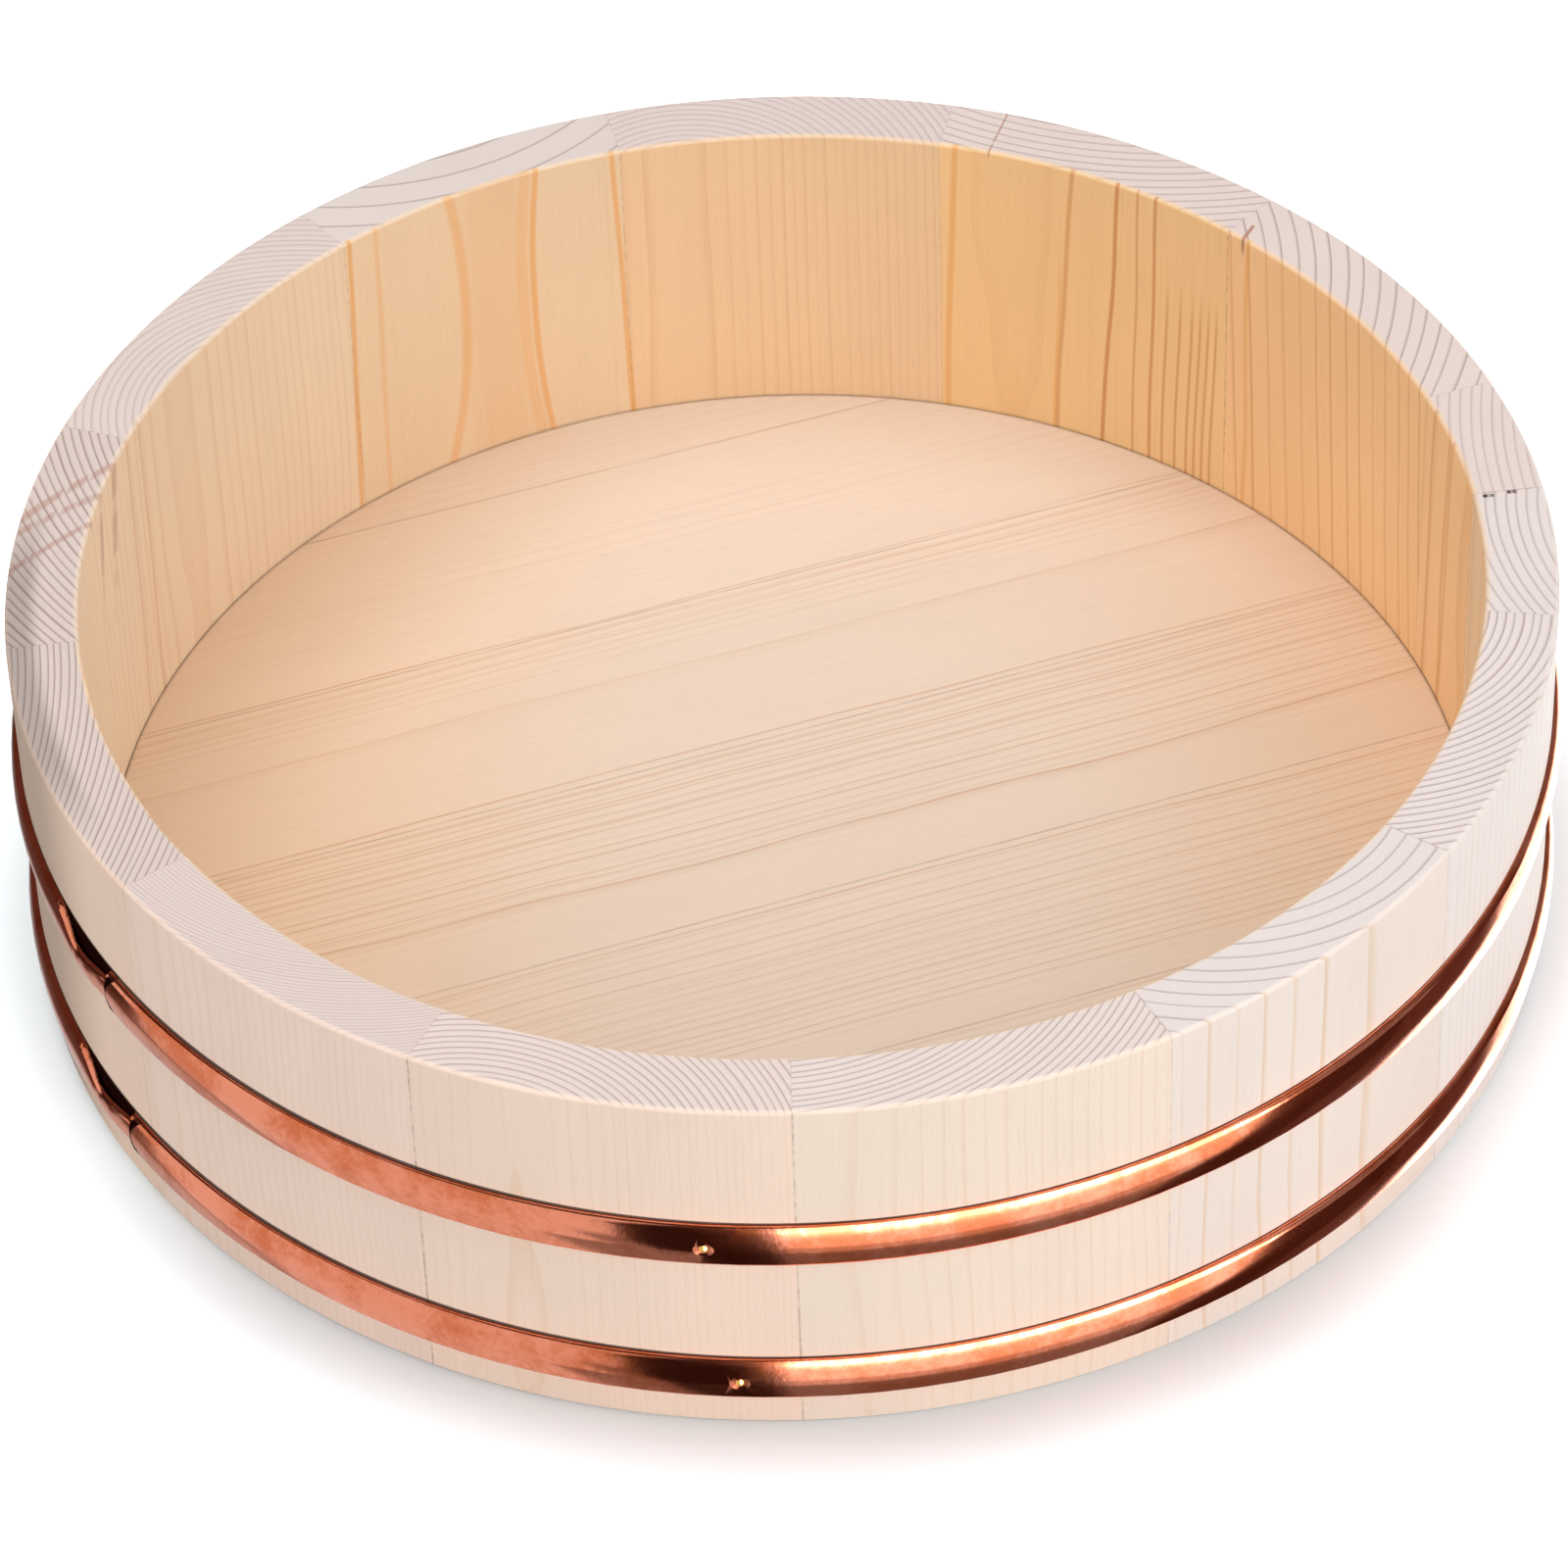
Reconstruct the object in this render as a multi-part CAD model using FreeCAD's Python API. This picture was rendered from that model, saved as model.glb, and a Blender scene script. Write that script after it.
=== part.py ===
import FreeCAD, Part
import math
import os

# Hangiri, the low coopered tub in which sushi rice is dressed.
# Upright staves stand in a ring and are drawn tight by two pressed copper hoops.
# The floor is a disc of edge-jointed boards with a tongue that runs in a groove, the croze.
# Millimetres, +Z up, origin at the middle of the foot.
# Azimuths are degrees anticlockwise from +X, seen from above. The hoop mouths face the front left.

# Tub wall
outer_diameter = 330.0
tub_height = 89.0
wall_thickness = 15.6
outer_rim_round = 1.0
inner_rim_round = 0.9
foot_chamfer = 0.3

# Azimuths of the joints between staves, so each gap between two values is one stave
stave_joints = [5.6, 18.5, 46.5, 74.7, 102.8, 129.7, 160.7,
                186.5, 214.5, 242.0, 269.4, 296.6, 323.9, 351.0]

# Floor and the croze that holds it
floor_thickness = 8.0
floor_recess = 4.8
floor_edge_gap = 0.25
tongue_thickness = 4.5
tongue_rebate = 1.75
croze_depth = 4.0
croze_end_gap = 0.3
croze_top_gap = 0.1

# Floor boards: full boards of one width share the floor between two narrower edge boards
full_boards = 5
front_board_width = 29.6
back_board_width = 22.6
grain_azimuth = 18.3

# Bamboo pins hidden in the joints between staves and between floor boards
pin_diameter = 3.0
pin_sides = 8
pin_point_length = 2.0
pin_tip_diameter = 1.6
pin_hole_end_gap = 0.5
stave_pin_length = 16.0
lower_stave_pin_height = 32.0
upper_stave_pin_height = 71.0
floor_pin_length = 18.0
floor_pin_inset = 32.0

# Copper hoops: half-oval channels, necked at one end to slip into the open mouth of the other
hoop_width = 11.0
hoop_rise = 2.1
hoop_shoulder = 1.5
hoop_sheet = 0.5
upper_hoop_height = 52.0
lower_hoop_height = 13.3
upper_mouth_azimuth = 211.0
lower_mouth_azimuth = 212.2

# The neck: pinched to a waist before the mouth, and lower and narrower than the mouth inside it
neck_taper_length = 25.0
neck_waist_place = 0.45
neck_waist_width = 5.2
neck_waist_lift = 0.8
neck_waist_drop = 1.8
neck_lap_length = 12.0
neck_width = 6.6
neck_lift = 0.1
neck_drop = 1.0
neck_crown_clearance = 0.3
neck_sections = 9

# Brass nails that pin the hoops, each in a dimple punched in the copper
upper_nail_azimuth = 263.0
lower_nail_azimuth = 265.1
nail_length = 11.0
nail_shank_diameter = 1.4
nail_point_length = 2.0
nail_head_diameter = 2.0
nail_head_rise = 0.6
nail_head_gap = 0.05
dimple_diameter = 4.4
dimple_depth = 0.25

# Worked out from the sizes above
outer_radius = outer_diameter / 2
inner_radius = outer_radius - wall_thickness
floor_top = floor_recess + floor_thickness
tongue_bottom = floor_recess + tongue_rebate
tongue_top = tongue_bottom + tongue_thickness
shoulder_radius = inner_radius - floor_edge_gap
tongue_radius = inner_radius + croze_depth - croze_end_gap
board_width = (2 * tongue_radius - front_board_width - back_board_width) / full_boards
crown_radius = outer_radius + hoop_rise
nail_seat_radius = crown_radius - dimple_depth

up = FreeCAD.Vector(0, 0, 1)
centre = FreeCAD.Vector(0, 0, 0)


def point(radius, height):
    """A point of an upright section, drawn at azimuth zero."""
    return FreeCAD.Vector(radius, 0, height)


def turned(shape, azimuth):
    """A copy of the shape turned about the tub's axis."""
    copy = shape.copy()
    copy.rotate(centre, up, azimuth)
    return copy


def outline(corners):
    """Straight edges through the corners, left open at the end."""
    return [Part.makeLine(a, b) for a, b in zip(corners, corners[1:])]


def quarter_round(start, end, middle):
    """A quarter circle from start to end about its middle."""
    chord_middle = (start + end) / 2
    outward = (chord_middle - middle).normalize()
    crest = middle + outward * start.distanceToPoint(middle)
    return Part.Arc(start, crest, end).toShape()


def wall_section():
    """Section of the wall: foot, outer face, rounded rim, inner face and croze."""
    croze_bottom = tongue_bottom
    croze_top = tongue_top + croze_top_gap
    croze_radius = inner_radius + croze_depth
    outer_rim_start = point(outer_radius, tub_height - outer_rim_round)
    outer_rim_end = point(outer_radius - outer_rim_round, tub_height)
    outer_rim_middle = point(outer_radius - outer_rim_round, tub_height - outer_rim_round)
    inner_rim_start = point(inner_radius + inner_rim_round, tub_height)
    inner_rim_end = point(inner_radius, tub_height - inner_rim_round)
    inner_rim_middle = point(inner_radius + inner_rim_round, tub_height - inner_rim_round)
    foot_start = point(inner_radius + foot_chamfer, 0)
    edges = outline([foot_start,
                     point(outer_radius - foot_chamfer, 0),
                     point(outer_radius, foot_chamfer),
                     outer_rim_start])
    edges.append(quarter_round(outer_rim_start, outer_rim_end, outer_rim_middle))
    edges += outline([outer_rim_end, inner_rim_start])
    edges.append(quarter_round(inner_rim_start, inner_rim_end, inner_rim_middle))
    edges += outline([inner_rim_end,
                      point(inner_radius, croze_top),
                      point(croze_radius, croze_top),
                      point(croze_radius, croze_bottom),
                      point(inner_radius, croze_bottom),
                      point(inner_radius, foot_chamfer),
                      foot_start])
    return Part.Face(Part.Wire(edges))


def pin(length):
    """A bamboo pin along +Y, centred on the origin, shaved to flat sides and pointed at both ends."""
    half = length / 2
    stations = [(-half, pin_tip_diameter),
                (pin_point_length - half, pin_diameter),
                (half - pin_point_length, pin_diameter),
                (half, pin_tip_diameter)]
    rings = []
    for along, diameter in stations:
        corners = []
        for k in range(pin_sides + 1):
            turn = 2 * math.pi * (k % pin_sides) / pin_sides
            corners.append(FreeCAD.Vector(diameter / 2 * math.cos(turn), along, diameter / 2 * math.sin(turn)))
        rings.append(Part.makePolygon(corners))
    return Part.makeLoft(rings, True, True)


def pin_hole(length):
    """The drilled hole for a pin, half of it in each of the two pieces."""
    hole_length = length + 2 * pin_hole_end_gap
    return Part.makeCylinder(pin_diameter / 2, hole_length,
                             FreeCAD.Vector(0, -hole_length / 2, 0), FreeCAD.Vector(0, 1, 0))


def at_stave_joint(shape, azimuth):
    """Copies of a pin or its hole across the stave joint at this azimuth, low and high."""
    copies = []
    for height in (lower_stave_pin_height, upper_stave_pin_height):
        copy = shape.copy()
        copy.translate(point(outer_radius - wall_thickness / 2, height))
        copies.append(turned(copy, azimuth))
    return copies


def stave(start, end, nails):
    """One upright stave between two joints, drilled for its pins and for the hoop nails."""
    span = (end - start) % 360
    blank = turned(wall_section(), start).revolve(centre, up, span)
    hole = pin_hole(stave_pin_length)
    holes = at_stave_joint(hole, start) + at_stave_joint(hole, end)
    return blank.cut(holes + nails)


def board_joints():
    """Offsets of the floor's joints from its centre, across the grain and from the front."""
    first = front_board_width - tongue_radius
    return [first + k * board_width for k in range(full_boards + 1)]


def floor_disc():
    """The whole floor before it is parted into boards, with its tongue all round."""
    corners = [point(0, floor_recess),
               point(shoulder_radius, floor_recess),
               point(shoulder_radius, tongue_bottom),
               point(tongue_radius, tongue_bottom),
               point(tongue_radius, tongue_top),
               point(shoulder_radius, tongue_top),
               point(shoulder_radius, floor_top),
               point(0, floor_top),
               point(0, floor_recess)]
    return Part.Face(Part.Wire(outline(corners))).revolve(centre, up, 360)


def across_board_joint(shape, offset):
    """Copies of a pin or its hole across the floor joint at this offset, one near each end."""
    half_chord = math.sqrt(shoulder_radius ** 2 - offset ** 2)
    copies = []
    for side in (-1, 1):
        copy = shape.copy()
        copy.translate(FreeCAD.Vector(side * (half_chord - floor_pin_inset), offset,
                                      floor_recess + floor_thickness / 2))
        copies.append(turned(copy, grain_azimuth))
    return copies


def floor_boards():
    """The boards of the floor, from the front edge to the back edge."""
    disc = floor_disc()
    joints = board_joints()
    edges = [-tongue_radius] + joints + [tongue_radius]
    hole = pin_hole(floor_pin_length)
    holes = [copy for offset in joints for copy in across_board_joint(hole, offset)]
    boards = []
    for low, high in zip(edges, edges[1:]):
        strip = Part.makeBox(2 * tongue_radius, high - low, floor_thickness,
                             FreeCAD.Vector(-tongue_radius, low, floor_recess))
        boards.append(disc.common(turned(strip, grain_azimuth)).cut(holes))
    return boards


def oval_arcs(seat, height, half, rise, shoulder, inset):
    """Three tangent arcs from the top lip over the crown to the bottom lip, inset by so much sheet."""
    shoulder_height = half - shoulder
    crown = (shoulder_height ** 2 + rise ** 2 - shoulder ** 2) / (2 * (rise - shoulder))
    lean = math.asin(shoulder_height / (crown - shoulder))
    crown_middle = point(seat + rise - crown, height)
    crown_reach = crown - inset
    shoulder_reach = shoulder - inset
    crest = crown_middle + point(crown_reach, 0)
    arcs = []
    for side in (1, -1):
        middle = point(seat, height + side * shoulder_height)
        lip = middle + point(0, side * shoulder_reach)
        meet = middle + point(math.cos(lean), side * math.sin(lean)) * shoulder_reach
        halfway = (lean + math.pi / 2) / 2
        bend = middle + point(math.cos(halfway), side * math.sin(halfway)) * shoulder_reach
        arcs.append((lip, bend, meet))
    top, bottom = arcs
    return [Part.Arc(*top).toShape(),
            Part.Arc(top[2], crest, bottom[2]).toShape(),
            Part.Arc(bottom[2], bottom[1], bottom[0]).toShape()]


def channel_section(height, width, rise, shoulder, lift, drop):
    """Closed outline of the hoop's pressed sheet: a low oval outside and inside, with flat lips."""
    seat = outer_radius + lift
    height = height - drop
    half = width / 2
    upper_lip = Part.makeLine(point(seat, height + half), point(seat, height + half - hoop_sheet))
    lower_lip = Part.makeLine(point(seat, height - half), point(seat, height - half + hoop_sheet))
    edges = oval_arcs(seat, height, half, rise, shoulder, 0) + [lower_lip]
    edges += oval_arcs(seat, height, half, rise, shoulder, hoop_sheet) + [upper_lip]
    return Part.Wire(Part.__sortEdges__(edges))


def neck_taper(height, start, angle, full, waist, neck):
    """The stretch over which the channel shrinks from its full size to the waist and swells to the neck."""
    wires = []
    for k in range(neck_sections):
        share = k / (neck_sections - 1)
        if share < neck_waist_place:
            before, after, way = full, waist, share / neck_waist_place
        else:
            before, after, way = waist, neck, (share - neck_waist_place) / (1 - neck_waist_place)
        ease = (1 - math.cos(math.pi * way)) / 2
        sizes = [a + ease * (b - a) for a, b in zip(before, after)]
        wires.append(turned(channel_section(height, *sizes), start + share * angle))
    return Part.makeLoft(wires, True, False)


def hoop(height, mouth, nail_azimuth):
    """A hoop: full channel from its mouth right round, then the taper and the neck in the mouth."""
    taper_angle = math.degrees(neck_taper_length / outer_radius)
    lap_angle = math.degrees(neck_lap_length / outer_radius)
    neck_rise = hoop_rise - hoop_sheet - neck_crown_clearance - neck_lift
    neck_shoulder = hoop_shoulder - hoop_sheet
    full = (hoop_width, hoop_rise, hoop_shoulder, 0, 0)
    waist = (neck_waist_width, neck_rise, neck_shoulder, neck_waist_lift, neck_waist_drop)
    neck = (neck_width, neck_rise, neck_shoulder, neck_lift, neck_drop)
    body = turned(Part.Face(channel_section(height, *full)), mouth).revolve(centre, up, 360 - taper_angle)
    taper = neck_taper(height, mouth - taper_angle, taper_angle, full, waist, neck)
    lap = turned(Part.Face(channel_section(height, *neck)), mouth).revolve(centre, up, lap_angle)
    tube = body.fuse([taper, lap])
    return tube.cut(turned(nail_pocket(height), nail_azimuth))


def nail_pocket(height):
    """What the nail takes out of the hoop: a round dimple, the head's flat seat and the shank hole."""
    outward = FreeCAD.Vector(1, 0, 0)
    dish_radius = (dimple_diameter ** 2 / 4 + dimple_depth ** 2) / (2 * dimple_depth)
    dish = Part.makeSphere(dish_radius, point(nail_seat_radius + dish_radius, height))
    seat = Part.makeCylinder(nail_head_diameter / 2 + nail_head_gap, dimple_depth,
                             point(nail_seat_radius, height), outward)
    shank = Part.makeCylinder(nail_shank_diameter / 2, nail_length,
                              point(nail_seat_radius - nail_length, height), outward)
    return dish.fuse([seat, shank])


def nail(height, azimuth):
    """A brass nail driven through the hoop's crown, with a domed head and a point."""
    half_head = nail_head_diameter / 2
    half_shank = nail_shank_diameter / 2
    tip = nail_seat_radius - nail_length
    dome_start = FreeCAD.Vector(nail_seat_radius, half_head, 0)
    dome_top = FreeCAD.Vector(nail_seat_radius + nail_head_rise, 0, 0)
    dome_radius = (half_head ** 2 + nail_head_rise ** 2) / (2 * nail_head_rise)
    dome_middle = FreeCAD.Vector(nail_seat_radius + nail_head_rise - dome_radius, 0, 0)
    side = (dome_start + dome_top) / 2 - dome_middle
    dome_side = dome_middle + side.normalize() * dome_radius
    edges = outline([dome_top,
                     FreeCAD.Vector(tip, 0, 0),
                     FreeCAD.Vector(tip + nail_point_length, half_shank, 0),
                     FreeCAD.Vector(nail_seat_radius, half_shank, 0),
                     dome_start])
    edges.append(Part.Arc(dome_start, dome_side, dome_top).toShape())
    shape = Part.Face(Part.Wire(edges)).revolve(centre, FreeCAD.Vector(1, 0, 0), 360)
    shape.translate(FreeCAD.Vector(0, 0, height))
    return turned(shape, azimuth)


def build():
    """Every piece of the tub by the name of its node."""
    nails = [nail(upper_hoop_height, upper_nail_azimuth),
             nail(lower_hoop_height, lower_nail_azimuth)]
    pieces = {}
    ends = stave_joints[1:] + stave_joints[:1]
    for number, (start, end) in enumerate(zip(stave_joints, ends), 1):
        pieces[f"stave_{number:02d}"] = stave(start, end, nails)
    for number, board in enumerate(floor_boards(), 1):
        pieces[f"floor_board_{number}"] = board
    pieces["upper_hoop"] = hoop(upper_hoop_height, upper_mouth_azimuth, upper_nail_azimuth)
    pieces["lower_hoop"] = hoop(lower_hoop_height, lower_mouth_azimuth, lower_nail_azimuth)
    pieces["hoop_nails"] = Part.makeCompound(nails)
    stave_pin = pin(stave_pin_length)
    pieces["stave_pins"] = Part.makeCompound(
        [copy for azimuth in stave_joints for copy in at_stave_joint(stave_pin, azimuth)])
    floor_pin = pin(floor_pin_length)
    pieces["floor_pins"] = Part.makeCompound(
        [copy for offset in board_joints() for copy in across_board_joint(floor_pin, offset)])
    return pieces


os.makedirs("parts", exist_ok=True)
for name, shape in build().items():
    shape.exportStep(f"parts/{name}.step")
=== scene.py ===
"""Looks of a hangiri, the low coopered tub for sushi rice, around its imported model.

Lengths are metres in the tub's own frame: +Z up, the foot at zero, the nails towards -Y.
Inside the wood materials, lengths are millimetres in the frame of one stave or one board.
"""

import logging
import math
from dataclasses import dataclass, field
from enum import Enum

import bpy
from mathutils import Matrix, Vector


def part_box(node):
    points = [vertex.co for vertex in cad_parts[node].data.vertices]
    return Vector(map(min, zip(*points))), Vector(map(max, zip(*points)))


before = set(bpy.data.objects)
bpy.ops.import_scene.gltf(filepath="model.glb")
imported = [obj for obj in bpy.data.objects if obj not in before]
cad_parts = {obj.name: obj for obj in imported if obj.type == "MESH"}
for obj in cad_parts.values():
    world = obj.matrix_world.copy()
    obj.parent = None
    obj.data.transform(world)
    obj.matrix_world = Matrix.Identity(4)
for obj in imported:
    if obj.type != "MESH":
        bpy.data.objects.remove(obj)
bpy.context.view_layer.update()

log = logging.getLogger("hangiri")

PER_MM = 1000.0
DEGREES = 180 / math.pi
FULL_TURN = 360.0

Socket = bpy.types.NodeSocket
Colour = tuple[float, float, float, float]
Triple = tuple[float, float, float]
Pair = tuple[float, float]
WHITE: Colour = (1.0, 1.0, 1.0, 1.0)


def srgb(red: int, green: int, blue: int) -> Colour:
    """Give the linear colour of a display colour written as 0 to 255.

    Args:
        red: Display red.
        green: Display green.
        blue: Display blue.

    Returns:
        The linear colour with full alpha.
    """
    linear = []
    for channel in (red, green, blue):
        share = channel / 255
        linear.append(share / 12.92 if share <= 0.04045 else ((share + 0.055) / 1.055) ** 2.4)
    return (*linear, 1.0)


class Number:
    """A number socket of a node tree that can be used in arithmetic."""

    def __init__(self, graph: "Graph", socket: Socket) -> None:
        """Keep the socket and the graph that it belongs to."""
        self.graph = graph
        self.socket = socket

    def _math(self, operation: str, *values: "Number | float") -> "Number":
        """Add a Math node.

        Args:
            operation: Name of the Math node's operation.
            *values: Its operands in order.

        Returns:
            The node's result.
        """
        inputs = dict(enumerate(values))
        node = self.graph.add("ShaderNodeMath", {"operation": operation}, inputs)
        return Number(self.graph, node.outputs[0])

    def __add__(self, other: "Number | float") -> "Number":
        """Add."""
        return self._math("ADD", self, other)

    __radd__ = __add__

    def __sub__(self, other: "Number | float") -> "Number":
        """Subtract."""
        return self._math("SUBTRACT", self, other)

    def __rsub__(self, other: "Number | float") -> "Number":
        """Subtract from a number."""
        return self._math("SUBTRACT", other, self)

    def __mul__(self, other: "Number | float") -> "Number":
        """Multiply."""
        return self._math("MULTIPLY", self, other)

    __rmul__ = __mul__

    def __truediv__(self, other: "Number | float") -> "Number":
        """Divide."""
        return self._math("DIVIDE", self, other)

    def __pow__(self, other: "Number | float") -> "Number":
        """Raise to a power."""
        return self._math("POWER", self, other)

    def __abs__(self) -> "Number":
        """Drop the sign."""
        return self._math("ABSOLUTE", self)

    def root(self) -> "Number":
        """Take the square root."""
        return self._math("SQRT", self)

    def part(self) -> "Number":
        """Keep the fractional part."""
        return self._math("FRACT", self)

    def whole(self) -> "Number":
        """Keep the whole part."""
        return self._math("FLOOR", self)

    def most(self, other: "Number | float") -> "Number":
        """Take the larger of two values."""
        return self._math("MAXIMUM", self, other)

    def arcsine(self) -> "Number":
        """Give the angle in degrees whose sine this is."""
        return self._math("ARCSINE", self) * DEGREES

    def bearing(self, east: "Number") -> "Number":
        """Give the angle in degrees of the direction with this as its y and east as its x."""
        return self._math("ARCTAN2", self, east) * DEGREES

    def step(self, low: float, high: float) -> "Number":
        """Rise smoothly from 0 at low to 1 at high.

        Args:
            low: Value at which the result is 0, which may be above high.
            high: Value at which the result is 1.

        Returns:
            The eased mask, clamped to 0 and 1.
        """
        if low > high:
            return 1 - self.step(high, low)
        settings = {"interpolation_type": "SMOOTHSTEP", "clamp": True}
        inputs = {"Value": self, "From Min": low, "From Max": high, "To Min": 0.0, "To Max": 1.0}
        node = self.graph.add("ShaderNodeMapRange", settings, inputs)
        return Number(self.graph, node.outputs["Result"])

    def band(self, low: float, high: float, edge: float) -> "Number":
        """Be 1 between two values and fade to 0 over an edge outside them."""
        return self.step(low - edge, low) * self.step(high + edge, high)


class Graph:
    """A node tree under construction."""

    def __init__(self, tree: bpy.types.NodeTree) -> None:
        """Start from an empty tree."""
        self.tree = tree
        tree.nodes.clear()

    def add(self, kind: str, settings: dict[str, object],
            inputs: dict[object, object]) -> bpy.types.Node:
        """Add one node.

        Args:
            kind: The node's type.
            settings: Properties to set first.
            inputs: Socket name, identifier or index to a value, a colour, a Number or a socket.

        Returns:
            The new node.
        """
        node = self.tree.nodes.new(kind)
        for name, value in settings.items():
            setattr(node, name, value)
        for key, value in inputs.items():
            self._connect(self._find(node, key), value)
        return node

    @staticmethod
    def _find(node: bpy.types.Node, key: object) -> Socket:
        """Find an input socket by its index, its identifier or its name."""
        if isinstance(key, int):
            return node.inputs[key]
        for socket in node.inputs:
            if socket.identifier == key:
                return socket
        return node.inputs[key]

    def _connect(self, socket: Socket, value: object) -> None:
        """Link a socket, or set its value."""
        if isinstance(value, Number):
            self.tree.links.new(value.socket, socket)
        elif isinstance(value, Socket):
            self.tree.links.new(value, socket)
        else:
            socket.default_value = value

    def mix(self, share: Number | float, first: object, second: object) -> Socket:
        """Mix two colours by a share of the second."""
        node = self.add("ShaderNodeMix", {"data_type": "RGBA", "clamp_factor": True},
                        {"Factor_Float": share, "A_Color": first, "B_Color": second})
        return next(s for s in node.outputs if s.identifier == "Result_Color")

    def scale_colour(self, colour: object, factor: Number | float) -> Socket:
        """Brighten or darken a colour by a factor."""
        inputs = {0: colour, "Scale": factor}
        return self.add("ShaderNodeVectorMath", {"operation": "SCALE"}, inputs).outputs[0]

    def place(self) -> Socket:
        """Give the place of the point being shaded, in the piece's own metres."""
        return self.add("ShaderNodeTexCoord", {}, {}).outputs["Object"]

    def noise(self, where: object, scale: float, detail: float = 2.0,
              rough: float = 0.5) -> Number:
        """Sample smooth 3-D noise between 0 and 1 about 0.5.

        Args:
            where: Vector socket to read at.
            scale: Features per unit of that vector.
            detail: Octaves beyond the first.
            rough: Strength of each further octave.

        Returns:
            The noise value.
        """
        node = self.add("ShaderNodeTexNoise", {"noise_dimensions": "3D"},
                        {"Vector": where, "Scale": scale, "Detail": detail, "Roughness": rough})
        return Number(self, node.outputs[0])

    def noise_along(self, where: Number, scale: float, detail: float = 1.0) -> Number:
        """Sample 1-D noise between 0 and 1 about 0.5 along a number."""
        node = self.add("ShaderNodeTexNoise", {"noise_dimensions": "1D"},
                        {"W": where, "Scale": scale, "Detail": detail})
        return Number(self, node.outputs[0])

    def chance(self, where: Number) -> Number:
        """Give an even random value from 0 to 1 for each whole number."""
        node = self.add("ShaderNodeTexWhiteNoise", {"noise_dimensions": "1D"}, {"W": where})
        return Number(self, node.outputs["Value"])

    def split(self, vector: object) -> tuple[Number, Number, Number]:
        """Split a vector into its three numbers."""
        node = self.add("ShaderNodeSeparateXYZ", {}, {0: vector})
        return tuple(Number(self, out) for out in node.outputs)

    def join(self, x: Number | float, y: Number | float, z: Number | float) -> Socket:
        """Join three numbers into a vector."""
        return self.add("ShaderNodeCombineXYZ", {}, {0: x, 1: y, 2: z}).outputs[0]

    def placed(self, vector: object, turn: float, scale: Triple,
               shift: Triple = (0.0, 0.0, 0.0)) -> Socket:
        """Scale a vector, turn it about Z by an angle in degrees and shift it."""
        node = self.add("ShaderNodeMapping", {"vector_type": "POINT"},
                        {"Vector": vector, "Rotation": (0.0, 0.0, math.radians(turn)),
                         "Scale": scale, "Location": shift})
        return node.outputs[0]

    def bump(self, height: Number, strength: float, distance: float) -> Socket:
        """Turn a height from 0 to 1 into a normal."""
        inputs = {"Height": height, "Strength": strength, "Distance": distance}
        return self.add("ShaderNodeBump", {}, inputs).outputs[0]


def new_material(name: str) -> tuple[bpy.types.Material, Graph]:
    """Make an empty node material.

    Args:
        name: The material's name.

    Returns:
        The material and the graph to fill.
    """
    material = bpy.data.materials.new(name)
    material.use_nodes = True
    return material, Graph(material.node_tree)


def finish_surface(graph: Graph, inputs: dict[str, object],
                   shade: Number | None = None) -> None:
    """Add the surface shader and the output to a graph.

    Args:
        graph: The material's graph.
        inputs: Values and sockets for the surface shader.
        shade: Mask of the deep shade in narrow gaps, where the surface is dark and has no shine.
    """
    shader = graph.add("ShaderNodeBsdfPrincipled", {}, inputs)
    if shade is not None:
        matt = graph.add("ShaderNodeBsdfDiffuse", {}, {"Color": SHADE_COLOUR})
        shader = graph.add("ShaderNodeMixShader", {},
                           {0: shade, 1: shader.outputs[0], 2: matt.outputs[0]})
    graph.add("ShaderNodeOutputMaterial", {}, {"Surface": shader.outputs[0]})


def dress(node: bpy.types.Object, material: bpy.types.Material) -> None:
    """Put one material on every slot of a CAD node."""
    if not node.material_slots:
        node.data.materials.append(material)
    for slot in node.material_slots:
        slot.material = material


class Face(Enum):
    """The kinds of cut through the wood that show on the tub."""

    END_GRAIN = "end_grain"
    INSIDE = "inside"
    OUTSIDE = "outside"


@dataclass(frozen=True)
class Tone:
    """Early and late wood colours on one kind of cut."""

    early: Colour
    late: Colour

    def tinted(self, tint: Triple) -> "Tone":
        """Multiply both colours by red, green and blue factors."""
        early, late = (tuple(min(c * t, 1.0) for c, t in zip(colour, tint)) + (1.0,)
                       for colour in (self.early, self.late))
        return Tone(early, late)


STAVE_TONES = {
    Face.END_GRAIN: Tone(early=srgb(223, 207, 200), late=srgb(166, 142, 138)),
    Face.INSIDE: Tone(early=srgb(236, 207, 172), late=srgb(200, 138, 80)),
    Face.OUTSIDE: Tone(early=srgb(244, 222, 205), late=srgb(230, 190, 150)),
}
FLOOR_TONE = Tone(early=srgb(226, 207, 190), late=srgb(190, 136, 92))
# Dark joints, and the painted shade where the floor meets the wall.
JOINT_AND_SHADE_COLOUR = srgb(124, 72, 50)
SHADE_COLOUR = srgb(30, 10, 7)
RESIN_COLOUR = srgb(176, 126, 108)
BROWN_COLOUR = srgb(204, 134, 78)
ORANGE_COLOUR = srgb(232, 170, 98)
WOOD_SHINE = 0.2
GRAIN_DEPTH = 0.0002


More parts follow.
